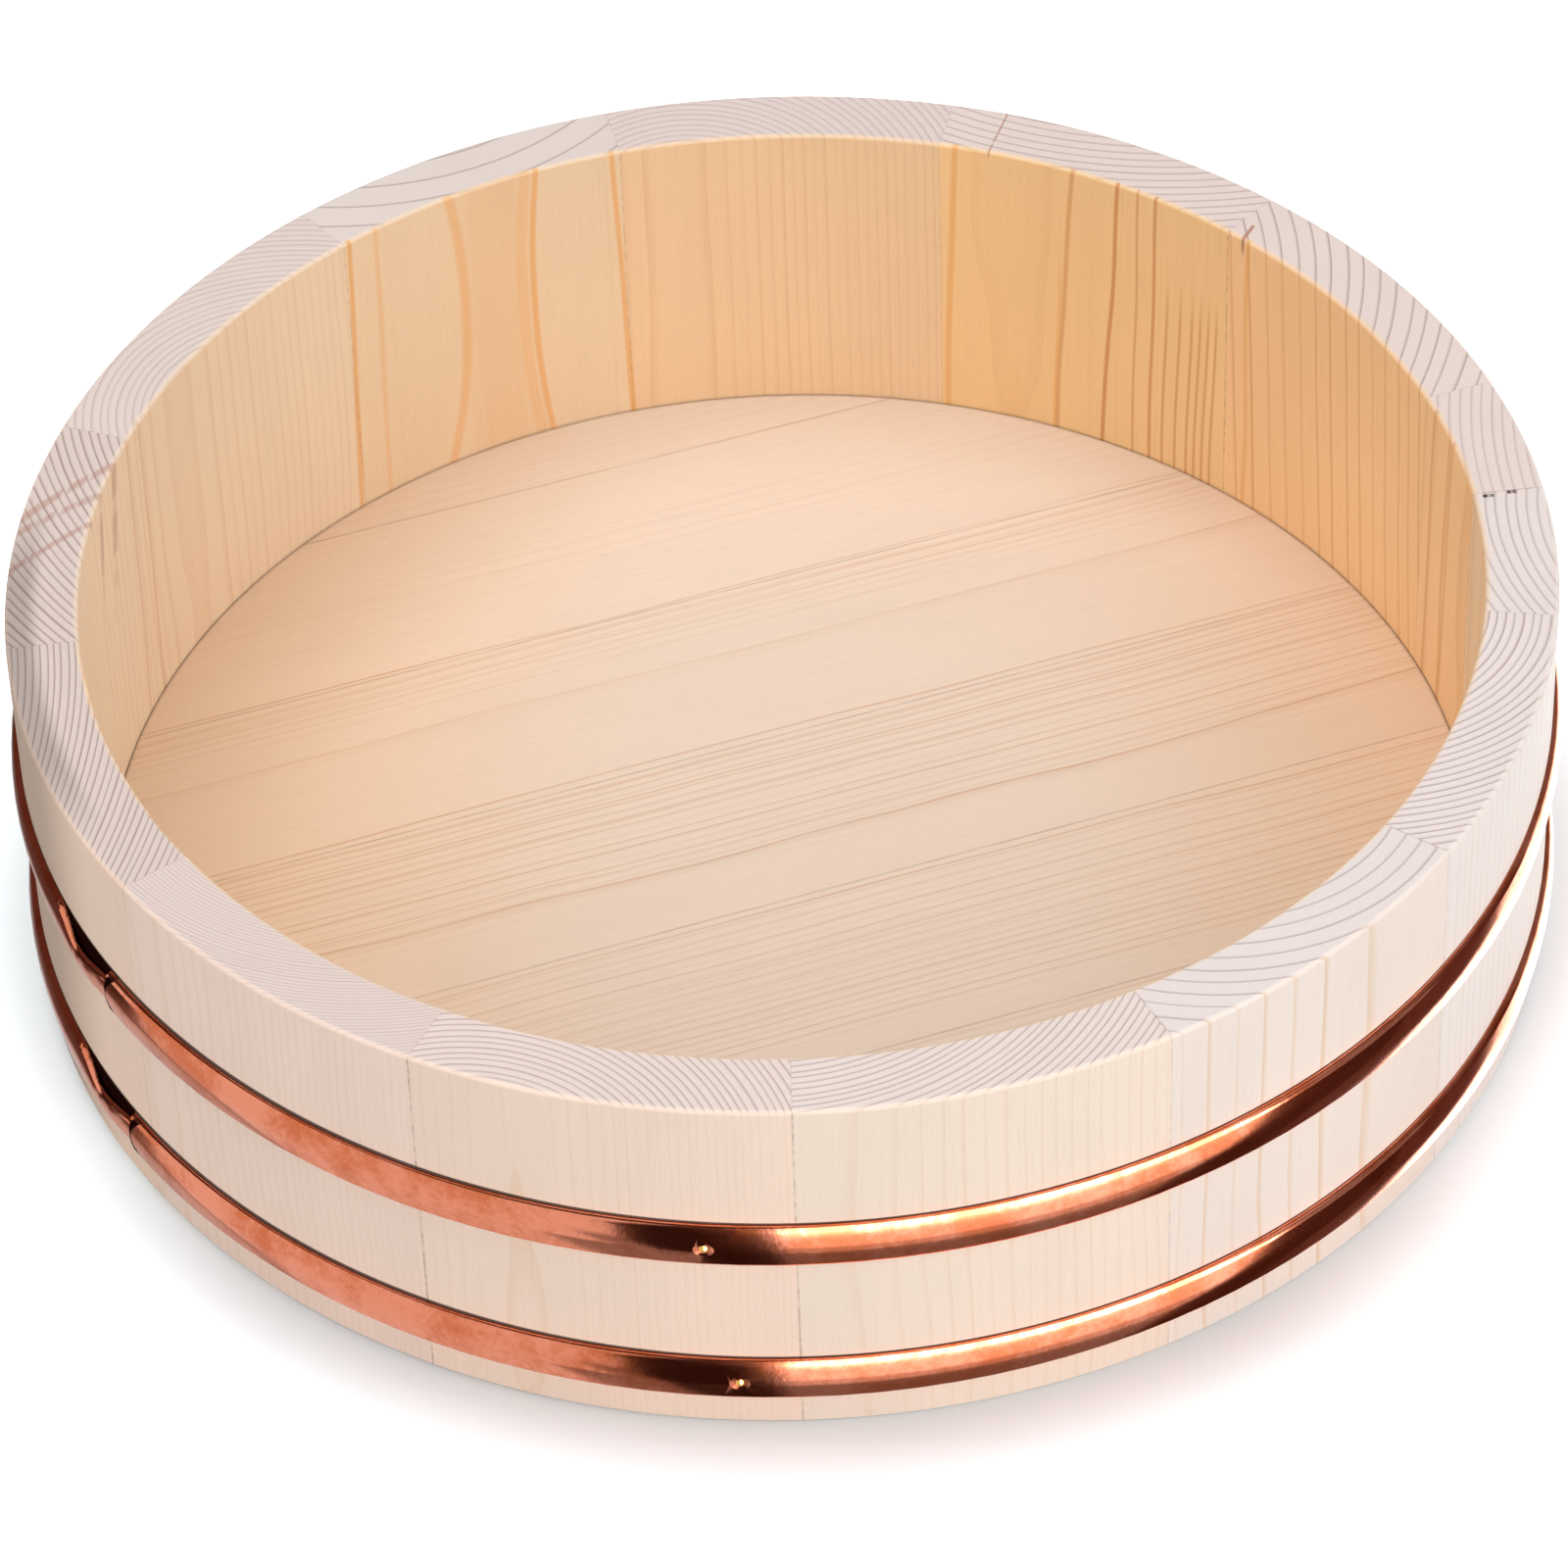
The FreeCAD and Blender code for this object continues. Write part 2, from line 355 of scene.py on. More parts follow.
@dataclass(frozen=True)
class Rings:
    """Growth rings of one stave, in millimetres of its frame: x outwards, y anticlockwise, z up.

    The pith is where the rings are centred at the rim. It drifts sideways by the lean on its way
    down. A ring ends at the offset and at each spacing from there. The rim, inside and outside
    say how strongly the late wood shows on each face, and sharp narrows its lines on both sides.
    """

    pith_out: float
    pith_across: float
    spacing: float
    offset: float = 0.0
    rim: float = 1.0
    inside: float = 0.5
    outside: float = 0.4
    lean: float = 0.0
    wander: float = 1.0
    uneven: float = 0.5
    sharp: float = 1.0
    # The tints give each stave its own tone and also paint how light falls across the tub, as
    # lighter or darker and warmer or cooler faces from stave to stave.
    rim_tint_and_light: Triple = (1.0, 1.0, 1.0)
    inner_tint_and_light: Triple = (1.0, 1.0, 1.0)
    outer_tint_and_light: Triple = (1.0, 1.0, 1.0)


STAVE_RINGS = [
    Rings(290, -32, 2.3, rim=0.5, inside=0.45, lean=3.0,
          inner_tint_and_light=(1.10, 0.98, 0.82), outer_tint_and_light=(0.95, 1.04, 1.17)),
    Rings(66, 78, 3.6, rim=0.85, inside=0.6, lean=-5.0,
          inner_tint_and_light=(1.10, 0.98, 0.81)),
    Rings(257, 33, 2.5, offset=0.5, rim=0.75, inside=0.1, lean=2.0,
          uneven=0.1, sharp=3.0, inner_tint_and_light=(1.05, 0.96, 0.75)),
    Rings(128, 21, 1.9, rim=0.5, inside=0.22, wander=0.4,
          rim_tint_and_light=(0.97, 0.97, 0.98), inner_tint_and_light=(1.01, 0.97, 0.92)),
    Rings(225, -6, 7.0, offset=6.0, rim=0.75, inside=0.05,
          wander=0.1, uneven=0.0, sharp=4.0, rim_tint_and_light=(0.96, 0.98, 0.99),
          inner_tint_and_light=(0.98, 1.01, 1.04)),
    Rings(122, 14, 1.8, rim=0.5, inside=0.22,
          rim_tint_and_light=(0.96, 0.96, 0.96), inner_tint_and_light=(1.01, 1.08, 1.19)),
    Rings(55, -66, 1.9, rim=1.0, inside=0.25,
          rim_tint_and_light=(0.92, 0.91, 0.90), inner_tint_and_light=(1.03, 1.12, 1.26)),
    Rings(300, -75, 1.5, rim=1.0, outside=0.2,
          rim_tint_and_light=(0.91, 0.90, 0.90), outer_tint_and_light=(1.06, 0.97, 0.91)),
    Rings(95, -27, 0.9, rim=0.55, outside=0.25,
          rim_tint_and_light=(0.95, 0.94, 0.94), outer_tint_and_light=(1.06, 1.01, 1.01)),
    Rings(196, -21, 1.6, rim=0.85, outside=0.3, sharp=4.0,
          outer_tint_and_light=(1.04, 1.00, 0.97)),
    Rings(99, -29, 1.6, rim=0.85, outside=0.35, sharp=2.0,
          rim_tint_and_light=(1.0, 1.02, 1.03), outer_tint_and_light=(1.00, 1.01, 1.00)),
    Rings(111, 20, 3.6, rim=0.7, outside=0.7, sharp=2.0,
          rim_tint_and_light=(1.01, 1.06, 1.10), outer_tint_and_light=(0.98, 1.03, 1.09)),
    Rings(117, 27, 1.9, rim=0.9, outside=0.4,
          rim_tint_and_light=(1.03, 1.07, 1.11), outer_tint_and_light=(0.97, 1.07, 1.20)),
    Rings(223, 13, 2.2, rim=0.7, outside=0.3,
          rim_tint_and_light=(1.02, 1.06, 1.08), outer_tint_and_light=(0.97, 1.07, 1.20)),
]


@dataclass(frozen=True)
class Joint:
    """A joint between two staves: its azimuth and how dark its line is on each face."""

    azimuth: float
    rim: float = 0.12
    inside: float = 0.15
    outside: float = 0.15


JOINTS = [
    Joint(5.6, rim=0.4, inside=0.4), Joint(18.5), Joint(46.5, inside=0.35), Joint(74.7),
    Joint(102.8, inside=0.25), Joint(129.7, inside=0.25), Joint(160.7), Joint(186.5),
    Joint(214.5, outside=0.2), Joint(242.0, outside=0.45), Joint(269.4, outside=0.4),
    Joint(296.6, rim=0.3, outside=0.2), Joint(323.9, rim=0.3, outside=0.25), Joint(351.0),
]

# Drop and radii in millimetres, and degrees past a joint up to which a stave shows a line.
WHOLE_WALL = 300.0
INNER_FACE = (148.0, 150.0)
RIM_MIDDLE = 157.0
OVER_JOINT = 1.5


@dataclass(frozen=True)
class Streak:
    """A line of late wood, a resin streak or a flaw that goes down into the wood from the rim.

    It crosses the middle of the rim at the azimuth, with its width in degrees. For each millimetre
    outwards it turns by the slant, and for each millimetre down by the lean. Half way down the wall
    it is turned by the bow as well. The reach is the range of radii in which it shows, and a start
    above 0 is the drop from the rim at which it begins.
    """

    azimuth: float
    width: float
    colour: Colour
    strength: float
    slant: float = 0.0
    lean: float = 0.0
    bow: float = 0.0
    start: float = 0.0
    depth: float = 2.0
    reach: Pair = (148.0, 166.0)
    broken: bool = True


def wall_line(azimuth: float, width: float, colour: Colour, strength: float, lean: float = 0.0,
              bow: float = 0.0, start: float = 0.0) -> Streak:
    """Make a line of late wood that runs down the whole inner face.

    Args:
        azimuth: Where it starts at the rim, in degrees.
        width: Its width in degrees.
        colour: Its colour.
        strength: How strongly it shows, up to 1.
        lean: Turn for each millimetre down, in degrees.
        bow: Turn half way down, in degrees.
        start: Drop from the rim at which it begins, in millimetres.

    Returns:
        The line.
    """
    return Streak(azimuth, width, colour, strength, lean=lean, bow=bow, start=start,
                  depth=WHOLE_WALL, reach=INNER_FACE, broken=False)


STREAKS = [
    Streak(168.0, 0.9, RESIN_COLOUR, 0.5, slant=0.5, lean=0.09, depth=40.0),
    Streak(170.8, 0.7, RESIN_COLOUR, 0.5, slant=0.35, lean=0.09, depth=34.0),
    Streak(174.8, 0.6, RESIN_COLOUR, 0.5, slant=0.4),
    Streak(70.2, 0.12, RESIN_COLOUR, 0.8),
    Streak(45.6, 0.25, RESIN_COLOUR, 0.9, slant=0.1, depth=6.0, reach=(148.0, 154.5)),
    # Black dashes in the joint at the rim: painted shade in its open gaps.
    Streak(5.4, 0.3, SHADE_COLOUR, 0.95, reach=(157.0, 158.6)),
    Streak(5.2, 0.3, SHADE_COLOUR, 0.95, reach=(151.6, 153.6), depth=5.0),
    wall_line(12.0, 0.40, BROWN_COLOUR, 0.30, lean=0.016),
    wall_line(16.2, 0.40, BROWN_COLOUR, 0.40, lean=0.010),
    wall_line(44.2, 0.35, ORANGE_COLOUR, 0.5),
    *(wall_line(azimuth, 0.22, BROWN_COLOUR, 0.55, lean=0.006, start=18.0)
      for azimuth in (47.4, 48.3, 49.2, 50.1, 51.4, 52.8)),
    wall_line(54.3, 0.26, BROWN_COLOUR, 0.65, lean=0.004),
    wall_line(56.1, 0.20, BROWN_COLOUR, 0.5, lean=0.003),
    wall_line(58.1, 0.30, BROWN_COLOUR, 0.75, lean=0.017),
    wall_line(62.4, 0.32, BROWN_COLOUR, 0.5, lean=0.020, bow=0.2),
    wall_line(63.4, 0.25, ORANGE_COLOUR, 0.5, lean=0.010, start=20.0),
    wall_line(73.1, 0.42, ORANGE_COLOUR, 0.6, lean=0.014),
    wall_line(103.6, 0.36, ORANGE_COLOUR, 0.7, lean=-0.011),
    wall_line(110.6, 0.42, ORANGE_COLOUR, 0.7, lean=-0.004, bow=0.9),
    wall_line(111.6, 0.80, ORANGE_COLOUR, 0.35, lean=-0.004, bow=0.9),
    wall_line(114.8, 4.50, ORANGE_COLOUR, 0.2),
    wall_line(118.9, 0.70, ORANGE_COLOUR, 0.5, lean=0.015, bow=-1.6),
    wall_line(126.3, 0.40, ORANGE_COLOUR, 0.35, lean=0.006),
    wall_line(129.1, 0.36, ORANGE_COLOUR, 0.7, lean=0.010),
    wall_line(158.8, 0.40, BROWN_COLOUR, 0.3),
    wall_line(161.4, 0.35, BROWN_COLOUR, 0.3, lean=0.010),
]


class WoodGrain:
    """Solid softwood: rings about a pith that runs along z, fibres along z, and fine pores.

    The scales are features per millimetre, across the grain twice and then along it. Late wood
    ends at a share of the ring, and its width is in millimetres, up to a widest share of the ring.
    The sways and ripples are how far the rings are moved, in millimetres.
    """

    SEED_STEP = (7.3, 3.1, 131.0)
    SWAY_SCALE = (0.018, 0.018, 0.014)
    RIPPLE_SCALE = (0.15, 0.15, 0.02)
    FIBRE_SCALE = (2.2, 2.2, 0.035)
    PORE_SCALE = (3.2, 3.2, 0.2)
    PORES_OVER = (0.66, 0.74)
    BLOTCH_SCALE = (0.035, 0.035, 0.012)
    SPECKLE_SCALE = 2.2
    UNEVEN_SCALE = 0.35
    LATE_WIDTH = 1.05
    LATE_WIDEST = 0.55
    LATE_END = 0.97
    SWAY_OUT = 4.0
    SWAY_ACROSS = 5.0
    ACROSS_SEED = 40.0
    RIPPLE_LEAST = 0.12
    RIPPLE_MORE = 0.5

    def __init__(self, graph: Graph, where: Socket, seed: float) -> None:
        """Read the wood at a place.

        Args:
            graph: The material's graph.
            where: Position in millimetres, with the grain along z.
            seed: Shift along the grain that makes each piece its own wood.
        """
        self.graph = graph
        self.where = where
        self.sample = graph.placed(where, 0.0, (1.0, 1.0, 1.0),
                                   tuple(seed * step for step in self.SEED_STEP))

    def sway(self, seed: float = 0.0) -> Number:
        """Give a slow drift along the grain, about 0.

        Args:
            seed: Number that picks one of several drifts.

        Returns:
            The drift, mostly between -0.25 and 0.25.
        """
        slow = self.graph.placed(self.sample, 0.0, self.SWAY_SCALE, (seed, 0.0, 0.0))
        return self.graph.noise(slow, 1.0, 1.0) - 0.5

    def ripple(self) -> Number:
        """Give the small waviness of a ring, about 0."""
        return self._texture(self.RIPPLE_SCALE, 2.0)

    def _texture(self, scale: Triple, detail: float, rough: float = 0.5) -> Number:
        """Give noise at a scale along the three axes, about 0."""
        scaled = self.graph.placed(self.sample, 0.0, scale)
        return self.graph.noise(scaled, 1.0, detail, rough) - 0.5

    def lines(self, depth: Number, spacing: float, uneven: float) -> tuple[Number, Number]:
        """Turn a depth through the rings into lines of late wood.

        Args:
            depth: Distance through the rings in millimetres.
            spacing: Width of a ring.
            uneven: How much the rings differ in width, as a factor.

        Returns:
            The mask, which rises through the late wood of a ring and ends sharply, and a random
            value for each ring.
        """
        count = depth / spacing
        if uneven:
            count = count + (self.graph.noise_along(count, self.UNEVEN_SCALE) - 0.5) * uneven
        width = min(self.LATE_WIDEST, self.LATE_WIDTH / spacing)
        rise = count.part().step(1 - width, self.LATE_END)
        return rise * rise, self.graph.chance(count.whole())

    def rings(self, pith: tuple[Number | float, Number | float], spacing: float, offset: float,
              wander: Number | float, uneven: float) -> tuple[Number, Number]:
        """Give the late wood mask, and each ring's own strength.

        Args:
            pith: Place of the pith across the grain.
            spacing: Width of a ring.
            offset: Distance from the pith at which a ring ends.
            wander: How far the rings leave a true cylinder, as a factor.
            uneven: How much the rings differ in width, as a factor.

        Returns:
            The mask from 0 in early wood to 1 in late wood, and a random value for each ring.
        """
        x, y, _ = self.graph.split(self.where)
        out = x - pith[0] + self.sway() * (wander * self.SWAY_OUT)
        across = y - pith[1] + self.sway(self.ACROSS_SEED) * (wander * self.SWAY_ACROSS)
        ripple = self.ripple() * (wander * self.RIPPLE_MORE + self.RIPPLE_LEAST)
        depth = (out * out + across * across).root() + ripple
        return self.lines(depth - offset, spacing, uneven)

    def fibres(self) -> Number:
        """Give fine streaks along the grain, about 0."""
        return self._texture(self.FIBRE_SCALE, 3.0, 0.6)

    def pores(self) -> Number:
        """Give a mask of short thin dark dashes along the grain."""
        dashes = self.graph.placed(self.sample, 0.0, self.PORE_SCALE)
        return self.graph.noise(dashes, 1.0, 1.0).step(*self.PORES_OVER)

    def blotches(self) -> Number:
        """Give slow changes of tone, about 0."""
        return self._texture(self.BLOTCH_SCALE, 2.0)

    def speckle(self) -> Number:
        """Give the fine open texture of cut fibres on end grain, about 0."""
        return self.graph.noise(self.sample, self.SPECKLE_SCALE, 2.0, 0.7) - 0.5


@dataclass
class StaveSurface:
    """Where a point of the wood lies on one stave, in millimetres and degrees of its material."""

    turn: Number
    radius: Number
    height: Number
    drop: Number
    on_rim: Number
    inside: Number


@dataclass
class Staves:
    """The ring of staves: their joints and their wood, in millimetres and degrees.

    The wall's radii, its height and the tops of the hoops are read from the frame. A pair of
    numbers is where something starts to show and where it shows in full. The rim's tone shows
    within its two edges, and by the least share on them. Each shade is how dark it gets.
    """

    joints: list[Joint] = field(default_factory=lambda: list(JOINTS))
    wall: float = 15.6
    rim_inner: Pair = (0.5, 1.3)
    rim_outer: Pair = (0.4, 1.0)
    rim_least: float = 0.4
    rim_drop: Pair = (0.55, 0.2)
    inside_from: Pair = (4.0, 8.0)
    bow_drop: float = 76.0
    streak_sway: float = 1.4
    sway_seed: float = 70.0
    joint_width: Pair = (0.32, 0.08)
    joint_least: float = 0.3
    neck: Pair = (199.5, 212.0)
    neck_drop: float = 10.0
    hoop_shade: float = 0.9
    hoop_width: Pair = (1.5, 0.8)
    hoop_left: Pair = (120.0, 160.0)
    hoop_right: Pair = (285.0, 215.0)
    hoop_least: float = 0.3
    floor_shade: float = 0.14
    floor_line: float = 0.7
    left_shade: float = 0.36
    left: Pair = (180.0, 198.0)
    left_edge: float = 12.0

    def __post_init__(self) -> None:
        """Read the wall's size and the hoops' tops from the frame."""
        low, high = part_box("stave_04")
        self.outer = high.y * PER_MM
        self.height = high.z * PER_MM
        self.floor_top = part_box("floor_board_4")[1].z * PER_MM
        self.hoop_tops = [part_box(name)[1].z * PER_MM for name in ("upper_hoop", "lower_hoop")]

    def material(self, number: int, rings: Rings) -> bpy.types.Material:
        """Make one stave's wood.

        Args:
            number: The stave's number, from 1.
            rings: Its growth rings.

        Returns:
            The material.
        """
        start, end = self.joints[number - 1], self.joints[number % len(self.joints)]
        span = (end.azimuth - start.azimuth) % FULL_TURN
        middle = start.azimuth + span / 2
        material, graph = new_material(f"stave_wood_{number:02d}")
        place = graph.place()
        local = graph.placed(place, -middle, (PER_MM, PER_MM, PER_MM))
        grain = WoodGrain(graph, local, seed=float(number))
        at = self._surface(graph, local)
        share = at.drop / self.height
        pith = (rings.pith_out, rings.pith_across + share * rings.lean)
        late, strength = grain.rings(pith, rings.spacing, rings.offset, share * rings.wander,
                                     rings.uneven)
        fibres, blotches, speckle = grain.fibres(), grain.blotches(), grain.speckle()
        side_late = late ** rings.sharp
        end_late = late * (0.75 + strength * 0.25) * rings.rim
        inner_late = side_late * (0.3 + strength * 0.7) * rings.inside
        outer_late = side_late * (0.4 + strength * 0.6) * rings.outside
        # Each face's tint holds painted light as well as the stave's own tone.
        rim = self._tone(graph, Face.END_GRAIN, end_late, rings.rim_tint_and_light)
        inner = self._tone(graph, Face.INSIDE, inner_late, rings.inner_tint_and_light)
        outer = self._tone(graph, Face.OUTSIDE, outer_late, rings.outer_tint_and_light)
        side = graph.mix(at.inside, outer, inner)
        side = graph.scale_colour(side, 1 + fibres * 0.09 + blotches * 0.10 - grain.pores() * 0.06)
        rim = graph.scale_colour(rim, 1 + speckle * 0.14 + blotches * 0.06)
        colour = graph.mix(at.on_rim, side, rim)
        colour = self._streaks(grain, at, middle, span, colour)
        colour = graph.mix(self._joint_lines(graph, at, span, start, end), colour, JOINT_AND_SHADE_COLOUR)
        height = fibres * 0.5 - end_late * at.on_rim * 0.4 + speckle * at.on_rim * 0.8
        finish_surface(graph, {"Base Color": colour, "Roughness": 0.62 - late * 0.06,
                               "Specular IOR Level": WOOD_SHINE,
                               "Normal": graph.bump(height, 0.3, GRAIN_DEPTH)},
                       self._shade(at, middle))
        return material

    def _surface(self, graph: Graph, local: Socket) -> StaveSurface:
        """Work out where on the stave a point lies."""
        x, y, z = graph.split(local)
        radius = (x * x + y * y).root()
        depth = self.outer - radius
        inner = radius - (self.outer - self.wall)
        drop = self.height - z
        flat = inner.step(*self.rim_inner) * depth.step(*self.rim_outer)
        flat = self.rim_least + flat * (1 - self.rim_least)
        return StaveSurface(turn=y.bearing(x), radius=radius, height=z, drop=drop,
                            on_rim=drop.step(*self.rim_drop) * flat,
                            inside=depth.step(*self.inside_from))

    @staticmethod
    def _tone(graph: Graph, face: Face, late: Number, tint: Triple) -> Socket:
        """Mix early and late wood on one kind of cut."""
        tone = STAVE_TONES[face].tinted(tint)
        return graph.mix(late, tone.early, tone.late)

    def _streaks(self, grain: WoodGrain, at: StaveSurface, middle: float, span: float,
                 colour: object) -> object:
        """Lay this stave's lines, streaks and flaws over its colour."""
        graph = grain.graph
        share = at.drop / self.bow_drop
        sway = grain.sway(self.sway_seed) * self.streak_sway
        outwards = at.radius - RIM_MIDDLE
        for streak in STREAKS:
            place = (streak.azimuth - middle + FULL_TURN / 2) % FULL_TURN - FULL_TURN / 2
            if abs(place) > span / 2 + OVER_JOINT:
                continue
            turn = at.turn - place - outwards * streak.slant - at.drop * streak.lean
            if streak.bow:
                turn = turn - share * (1 - share) * (4 * streak.bow)
            if not streak.broken:
                turn = turn - sway
            mask = abs(turn).step(streak.width, streak.width * 0.3)
            mask = mask * at.radius.band(*streak.reach, 0.4)
            mask = mask * at.drop.step(streak.depth, streak.depth * 0.3)
            if streak.start:
                mask = mask * at.drop.step(streak.start, streak.start * 2)
            if streak.broken:
                where = graph.join(at.radius * 0.5, at.drop * 0.12, streak.azimuth)
                mask = mask * graph.noise(where, 1.0, 2.0).step(0.3, 0.5)
            colour = graph.mix(mask * streak.strength, colour, streak.colour)
        return colour

    def _joint_lines(self, graph: Graph, at: StaveSurface, span: float, start: Joint,
                     end: Joint) -> Number:
        """Give the mask of the thin broken lines of shade along both joints of a stave."""
        arc = at.radius * (1 / DEGREES)
        where = graph.join(at.radius * 0.35, at.height * 0.45, 0.0)
        broken = graph.noise(where, 1.0, 2.0).step(0.40, 0.60)
        total = None
        sides = (start, (at.turn + span / 2) * arc), (end, (span / 2 - at.turn) * arc)
        for joint, off in sides:
            side = joint.outside + at.inside * (joint.inside - joint.outside)
            strength = side + at.on_rim * (joint.rim - side)
            line = off.step(*self.joint_width) * strength
            total = line if total is None else total.most(line)
        return total * (self.joint_least + broken * (1 - self.joint_least))

    def _shade(self, at: StaveSurface, middle: float) -> Number:
        """Give the mask of deep shade over the hoops, behind their necks, at the floor and left."""
        azimuth = at.turn + middle
        outside = 1 - at.inside
        width = azimuth.step(*self.hoop_right) * azimuth.step(*self.hoop_left)
        width = width * (1 - self.hoop_least) + self.hoop_least
        behind_neck = azimuth.band(*self.neck, 0.6)
        above_floor = at.height - self.floor_top
        total = at.inside * above_floor.step(self.floor_line, 0.0) * self.floor_shade
        total = total.most(outside * azimuth.band(*self.left, self.left_edge) * self.left_shade)
        for top in self.hoop_tops:
            over = at.height - top
            line = over.step(-0.5, 0.0) * (over / width).step(*self.hoop_width) * self.hoop_shade
            wedge = over.band(-self.neck_drop, 0.4, 0.4) * behind_neck
            total = total.most(line.most(wedge) * outside)
        return total

    def build(self) -> None:
        """Dress every stave of the frame."""
        for number, rings in enumerate(STAVE_RINGS, 1):
            name = f"stave_{number:02d}"
            dress(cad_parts[name], self.material(number, rings))
            log.info("dressed %s", name)


@dataclass(frozen=True)
class Line:
    """One strong line of late wood in the floor.

    Its offset lies across the grain from the tub's centre, in millimetres like its width. The
    blur is how far it fades to the front, and the wave is how far it follows the wood's drift.
    """

    offset: float
    strength: float
    width: float = 0.5
    blur: float = 0.6
    wave: float = 1.0


@dataclass(frozen=True)
class BoardGrain:
    """The grain of one floor board: a stretch of fine close lines, and single strong lines.

    The stretch lies between two offsets across the grain, from the tub's centre.
    """

    stretch: tuple[float, float]
    spacing: float
    fine: float
    lines: tuple[Line, ...] = ()


BOARD_GRAINS = [
    BoardGrain((-153, -124), 2.4, 0.2),
    BoardGrain((-92, -73), 2.1, 0.3, lines=(
        Line(-82.8, 0.35), Line(-76.5, 0.3))),
    BoardGrain((-62, -27), 2.1, 0.4, lines=(
        Line(-24.0, 0.6), Line(-31.6, 0.3), Line(-38.6, 0.4), Line(-44.9, 0.4), Line(-48.2, 0.4),
        Line(-52.4, 0.5, blur=1.4))),
    BoardGrain((-4, 28), 2.3, 0.45, lines=(
        Line(27.0, 0.5), Line(21.8, 0.5), Line(15.6, 0.3), Line(0.4, 0.35, wave=2.0),
        Line(-2.8, 0.65, width=0.7, blur=2.4, wave=2.5))),
    BoardGrain((70, 79), 2.6, 0.35, lines=(
        Line(30.9, 0.6), Line(77.4, 0.45), Line(74.4, 0.4), Line(72.4, 0.3),
        Line(59.8, 0.32, width=1.0, blur=4.0, wave=1.5))),
    BoardGrain((96, 112), 3.4, 0.15, lines=(
        Line(80.9, 0.5), Line(105.8, 0.2, wave=3.0))),
    BoardGrain((131, 150), 3.0, 0.15),
]


@dataclass
class FloorBoards:
    """The floor: boards with their grain along one direction, jointed edge to edge.

    The joints' offsets lie across the grain, from the front. Towards the left and right the wood
    takes a darker, warmer tint by its factors, from a middle line at the given x in metres: painted
    shade and light bounced from the walls.
    """

    grain_azimuth: float = 18.3
    joints: list[float] = field(
        default_factory=lambda: [-123.5, -72.7, -21.9, 28.9, 79.7, 130.5])
    radius: float = 149.15
    first_seed: float = 20.0
    sway: float = 3.0
    ripple: float = 0.8
    uneven: float = 0.8
    stretch_edge: float = 5.0
    wall_shade: float = 0.22
    wall_line: float = 0.9
    joint_width: Pair = (0.40, 0.10)
    joint_shade: Pair = (0.12, 0.34)
    bounce_tint: Triple = (0.98, 0.87, 0.74)
    bounce_middle: float = 0.015
    bounce_from: Pair = (0.03, 0.140)

    def material(self, number: int, wood: BoardGrain) -> bpy.types.Material:
        """Make one board's wood.

        Args:
            number: The board's number, from 1 at the front.
            wood: Its grain.

        Returns:
            The material.
        """
        material, graph = new_material(f"floor_wood_{number}")
        place = graph.place()
        local = graph.placed(place, -self.grain_azimuth, (PER_MM, PER_MM, PER_MM))
        along, across, up = graph.split(local)
        grain = WoodGrain(graph, graph.join(across, up, along), seed=self.first_seed + number)
        drift = grain.sway() * self.sway + grain.ripple() * self.ripple
        late, strength = grain.lines(across + drift, wood.spacing, self.uneven)
        late = late * across.band(*wood.stretch, self.stretch_edge)
        late = late * (0.3 + strength * 0.7) * wood.fine
        patchy = 0.65 + grain.blotches() * 1.6
        for line in wood.lines:
            gap = across + drift * line.wave - line.offset
            body = gap.step(-line.width, -line.width * 0.3) * 0.7
            fade = gap.step(-line.width - line.blur, 0.0) * 0.4
            late = late.most((body + fade) * gap.step(0.25, -0.05) * line.strength * patchy)
        tone = FLOOR_TONE
        # Painted shade and bounce light: a darker, warmer tint towards the left and right walls.
        bounce_tint = tone.tinted(self.bounce_tint)
        side = abs(graph.split(place)[0] - self.bounce_middle).step(*self.bounce_from)
        colour = graph.mix(late, graph.mix(side, tone.early, bounce_tint.early),
                           graph.mix(side, tone.late, bounce_tint.late))
        fibres = grain.fibres()
        texture = 1 + fibres * 0.12 + grain.blotches() * 0.08 - grain.pores() * 0.10
        colour = graph.scale_colour(colour, texture)
        colour = graph.mix(self._shade(graph, number, along, across), colour, JOINT_AND_SHADE_COLOUR)
        height = fibres * 0.5 - late * 0.4
        finish_surface(graph, {"Base Color": colour, "Roughness": 0.6 - late * 0.08,
                               "Specular IOR Level": WOOD_SHINE,
                               "Normal": graph.bump(height, 0.25, GRAIN_DEPTH)})
        return material

    def _shade(self, graph: Graph, number: int, along: Number, across: Number) -> Number:
        """Give the mask of shade along a board's joints and at the wall."""
        radius = (along * along + across * across).root()
        # Painted shade in the corner where the floor meets the wall.
        total = radius.step(self.radius - self.wall_line, self.radius) * self.wall_shade
        where = graph.join(along * 0.05, 0.0, float(number))
        broken = graph.noise(where, 1.0, 3.0).step(0.35, 0.6)
        least, most = self.joint_shade
        for joint in self.joints[max(number - 2, 0):number]:
            line = abs(across - joint).step(*self.joint_width) * (least + broken * (most - least))
            total = total.most(line)
        return total

    def build(self) -> None:
        """Dress every floor board of the frame."""
        for number, wood in enumerate(BOARD_GRAINS, 1):
            name = f"floor_board_{number}"
            dress(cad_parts[name], self.material(number, wood))
            log.info("dressed %s", name)


